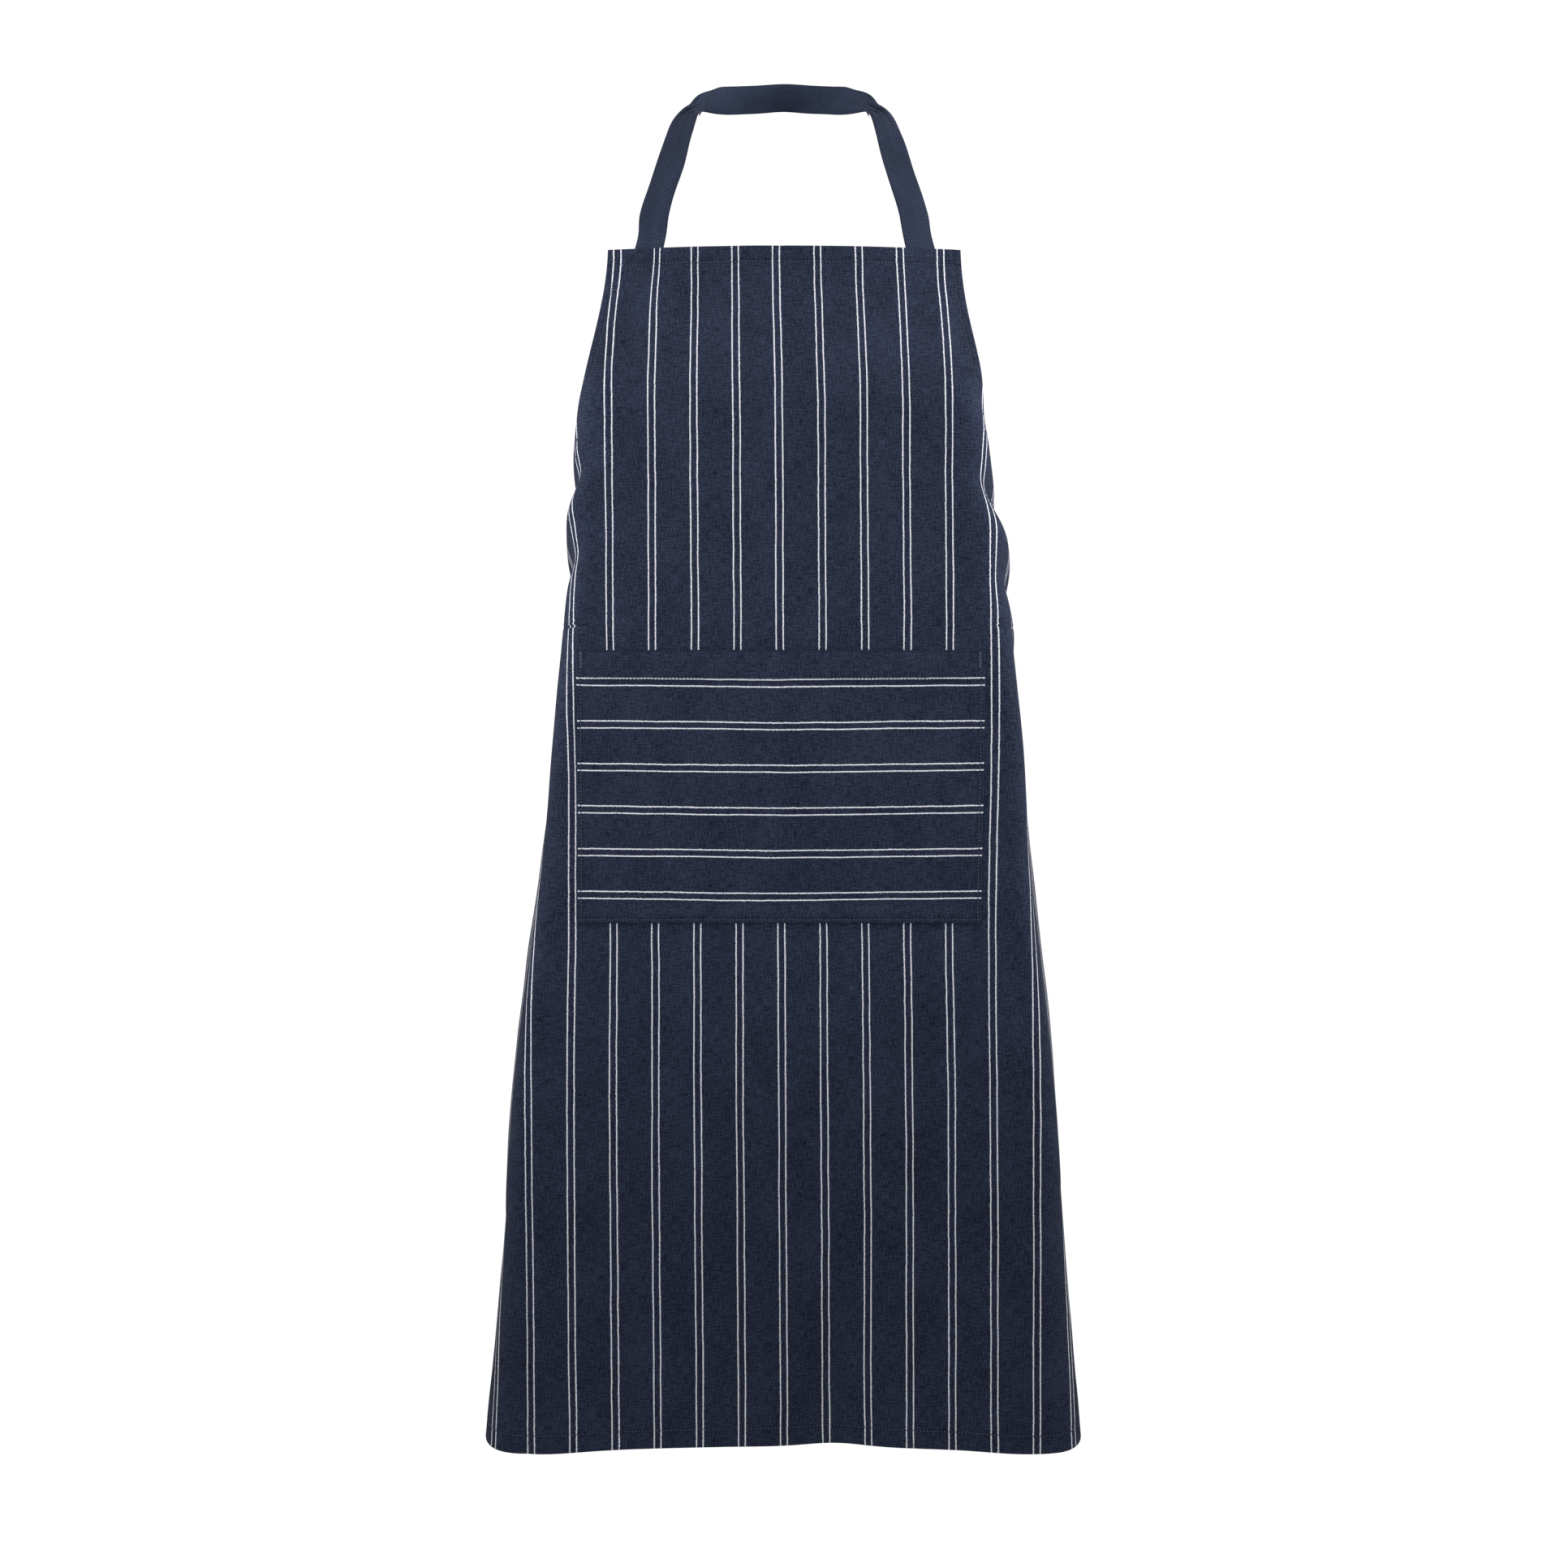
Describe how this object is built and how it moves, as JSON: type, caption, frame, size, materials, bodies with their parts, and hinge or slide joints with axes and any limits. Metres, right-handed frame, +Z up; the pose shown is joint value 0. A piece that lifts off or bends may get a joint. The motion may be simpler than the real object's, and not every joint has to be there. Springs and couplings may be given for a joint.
{
  "type": "butcher apron",
  "caption": "Full-length striped bib apron hanging as worn, with a wide patch pocket, a herringbone neck strap and waist ties tied in a bow behind.",
  "frame": {"origin": "the middle of the neck strap's lower edge, where it rests on the back of the wearer's neck", "axes": "+Z up, +X to the right of someone facing the apron, and the front of the apron towards -Y"},
  "size_m": [0.4458, 0.27, 1.0422],
  "materials": {
    "striped_cotton": "woven navy cotton twill with paired white yarn-dyed stripes, matt",
    "herringbone_tape": "navy herringbone-woven cotton tape, matt with a faint sheen",
    "sewing_thread": "tone-on-tone navy sewing thread, low sheen"
  },
  "bodies": {
    "apron": {"apron_panel": "striped_cotton", "pocket_panel": "striped_cotton", "neck_strap": "herringbone_tape", "waist_tie_left": "herringbone_tape", "waist_tie_right": "herringbone_tape", "bow_knot": "herringbone_tape", "bow_loop_left": "herringbone_tape", "bow_loop_right": "herringbone_tape", "top_hem_thread": "sewing_thread", "bottom_hem_thread": "sewing_thread", "armhole_thread_left": "sewing_thread", "armhole_thread_right": "sewing_thread", "side_hem_thread_left": "sewing_thread", "side_hem_thread_right": "sewing_thread", "pocket_seam_thread": "sewing_thread", "pocket_mouth_thread": "sewing_thread", "pocket_bartack_left": "sewing_thread", "pocket_bartack_right": "sewing_thread", "neck_tack_left": "sewing_thread", "neck_tack_right": "sewing_thread", "tie_tack_left": "sewing_thread", "tie_tack_right": "sewing_thread"},
    "tie_tail_left": {"tie_tail_left": "herringbone_tape"},
    "tie_tail_right": {"tie_tail_right": "herringbone_tape"}
  },
  "joints": [
    {"name": "left_tail_swing", "type": "hinge", "parent": "apron", "child": "tie_tail_left", "pos_m": [0, 0.042, -0.431], "axis": [0, 1, 0], "range_deg": [-10, 45]},
    {"name": "right_tail_swing", "type": "hinge", "parent": "apron", "child": "tie_tail_right", "pos_m": [0, 0.042, -0.431], "axis": [0, 1, 0], "range_deg": [-45, 10]}
  ]
}
